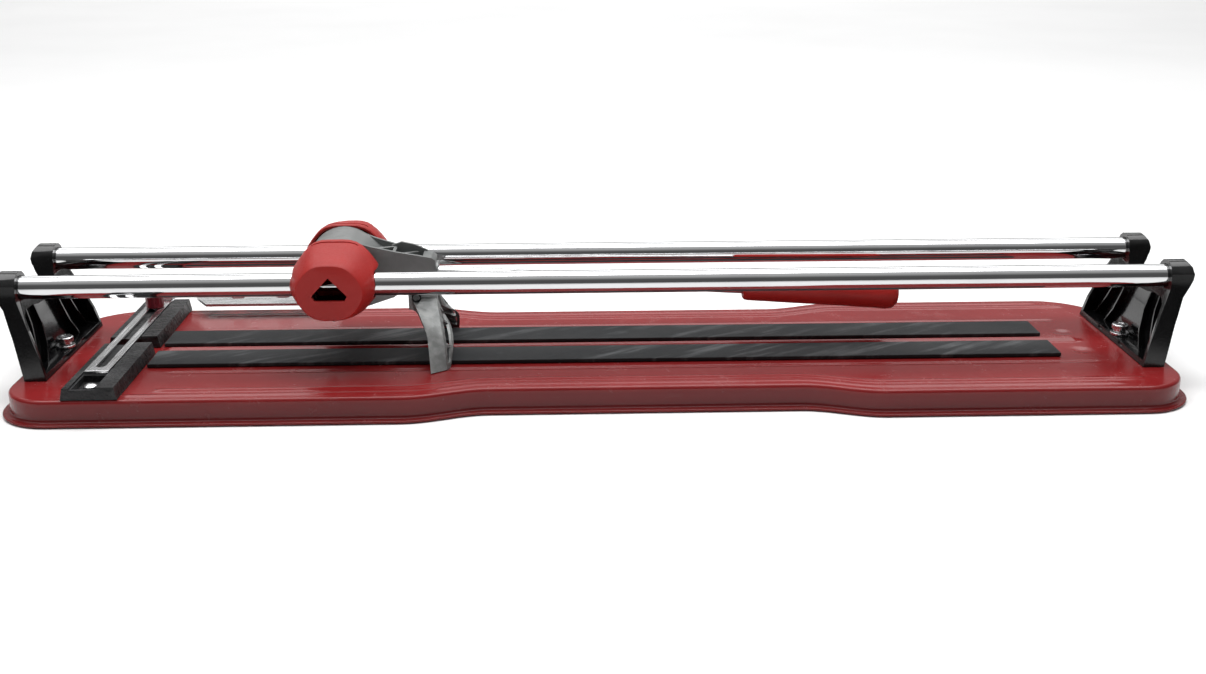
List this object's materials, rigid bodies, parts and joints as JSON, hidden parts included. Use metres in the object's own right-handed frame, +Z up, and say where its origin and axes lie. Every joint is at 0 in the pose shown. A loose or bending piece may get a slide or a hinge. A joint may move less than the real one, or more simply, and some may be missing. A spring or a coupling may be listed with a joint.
{
  "type": "manual tile cutter",
  "caption": "Manual rail tile cutter with pressed tray, two guide rails, sliding carriage with hinged handle, scoring wheel and breaker, and a cross ruler with side stop.",
  "frame": {"origin": "centre of the bounding box's bottom, on the plane that the flange stands on", "axes": "+X along the guide rails towards the handle end, +Y away from the operator across the tray, +Z up"},
  "size_m": [0.814, 0.2064, 0.1029],
  "materials": {
    "red_paint": "glossy red enamel",
    "pad_rubber": "matt dark grey",
    "black_gloss": "gloss black",
    "black_grain": "grained black",
    "zinc_hardware": "zinc plated",
    "rail_chrome": "bright chrome",
    "rod_chrome": "bright chrome",
    "ruler_steel": "satin chrome",
    "stop_zinc": "bright zinc",
    "knob_red": "dark red",
    "red_plastic": "moulded red",
    "carrier_grey": "moulded grey",
    "bushing_nylon": "natural nylon",
    "casting_grey": "die cast, satin",
    "wheel_steel": "hard steel"
  },
  "bodies": {
    "base": {"base_tray": "red_paint", "front_pad": "pad_rubber", "rear_pad": "pad_rubber", "left_bracket": "black_gloss", "right_bracket": "black_gloss", "left_bolt": "zinc_hardware", "right_bolt": "zinc_hardware", "left_washer": "zinc_hardware", "right_washer": "zinc_hardware", "left_nut": "zinc_hardware", "right_nut": "zinc_hardware", "front_rail": "rail_chrome", "rear_rail": "rail_chrome", "fence_front": "black_grain", "fence_rear": "black_grain", "fence_screw_front": "zinc_hardware", "fence_screw_rear": "zinc_hardware"},
    "ruler": {"ruler_bar": "ruler_steel", "stop_plate": "stop_zinc", "stop_rivet_1": "zinc_hardware", "stop_rivet_2": "zinc_hardware"},
    "clamp": {"clamp_knob": "knob_red", "knob_stud": "zinc_hardware"},
    "carriage": {"front_cap": "red_plastic", "rear_cap": "red_plastic", "front_carrier": "carrier_grey", "rear_carrier": "carrier_grey", "front_bushing_1": "bushing_nylon", "front_bushing_2": "bushing_nylon", "rear_bushing_1": "bushing_nylon", "rear_bushing_2": "bushing_nylon", "pivot_axle": "zinc_hardware"},
    "arm": {"arm_casting": "casting_grey", "handle_rod": "rod_chrome", "handle_grip": "red_plastic", "breaker": "casting_grey", "breaker_screw": "black_gloss", "wheel_holder": "zinc_hardware", "wheel_pin": "zinc_hardware"},
    "wheel": {"scoring_wheel": "wheel_steel"}
  },
  "joints": [
    {"name": "ruler_slide", "type": "slide", "parent": "base", "child": "ruler", "axis": [0, 1, 0], "range_m": [0, 0.11]},
    {"name": "clamp_turn", "type": "hinge", "parent": "base", "child": "clamp", "pos_m": [-0.3375, 0.075, 0.03], "axis": [0, 0, 1], "range_deg": [0, 360]},
    {"name": "carriage_slide", "type": "slide", "parent": "base", "child": "carriage", "axis": [1, 0, 0], "range_m": [-0.179, 0.16]},
    {"name": "arm_hinge", "type": "hinge", "parent": "carriage", "child": "arm", "pos_m": [-0.1805, 0, 0.0766], "axis": [0, -1, 0], "range_deg": [0, 22]},
    {"name": "wheel_spin", "type": "hinge", "parent": "arm", "child": "wheel", "pos_m": [-0.19147, 0, 0.04284], "axis": [0, 1, 0], "continuous": true}
  ]
}
